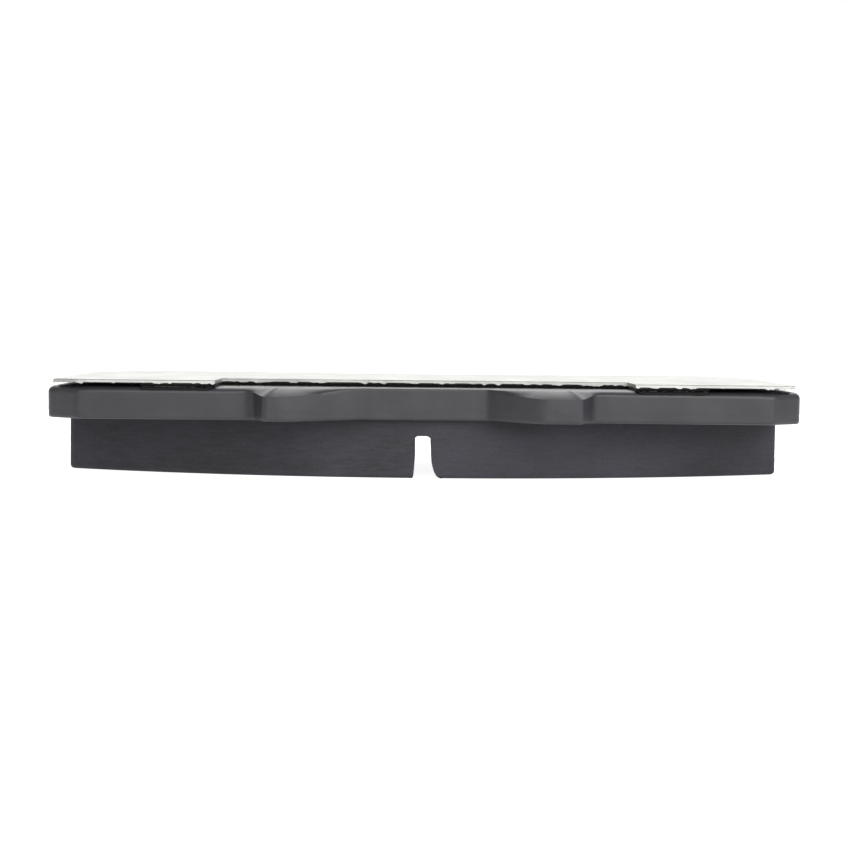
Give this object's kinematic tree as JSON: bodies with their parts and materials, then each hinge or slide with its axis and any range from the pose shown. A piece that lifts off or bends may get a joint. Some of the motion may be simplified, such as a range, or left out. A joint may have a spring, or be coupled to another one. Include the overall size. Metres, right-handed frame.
{
  "type": "disc brake pad",
  "caption": "Disc brake pad: lugged steel backing plate, slotted friction lining on an underlayer, and a layered anti-squeal shim.",
  "frame": {"origin": "middle of the pad's length and height, on the lining's rubbing face", "axes": "+X along the pad, in the disc's turning direction; -Y out to the disc's rim; +Z through the pad, away from the disc"},
  "size_m": [0.1292, 0.06, 0.0167],
  "materials": {
    "black_paint": "satin",
    "bond_resin": "matte",
    "underlayer_mix": "matte",
    "friction_mix": "matte",
    "adhesive": "gloss",
    "rubber_coat": "matte",
    "coated_steel": "satin",
    "bright_steel": "satin"
  },
  "bodies": {
    "root": {"backing_plate": "black_paint", "bond_film": "bond_resin", "underlayer": "underlayer_mix", "friction_lining": "friction_mix", "plate_adhesive": "adhesive", "inner_shim_rubber_plate_side": "rubber_coat", "inner_shim_steel": "coated_steel", "inner_shim_rubber_outer_side": "rubber_coat", "shim_adhesive": "adhesive", "outer_shim": "bright_steel"}
  },
  "joints": []
}
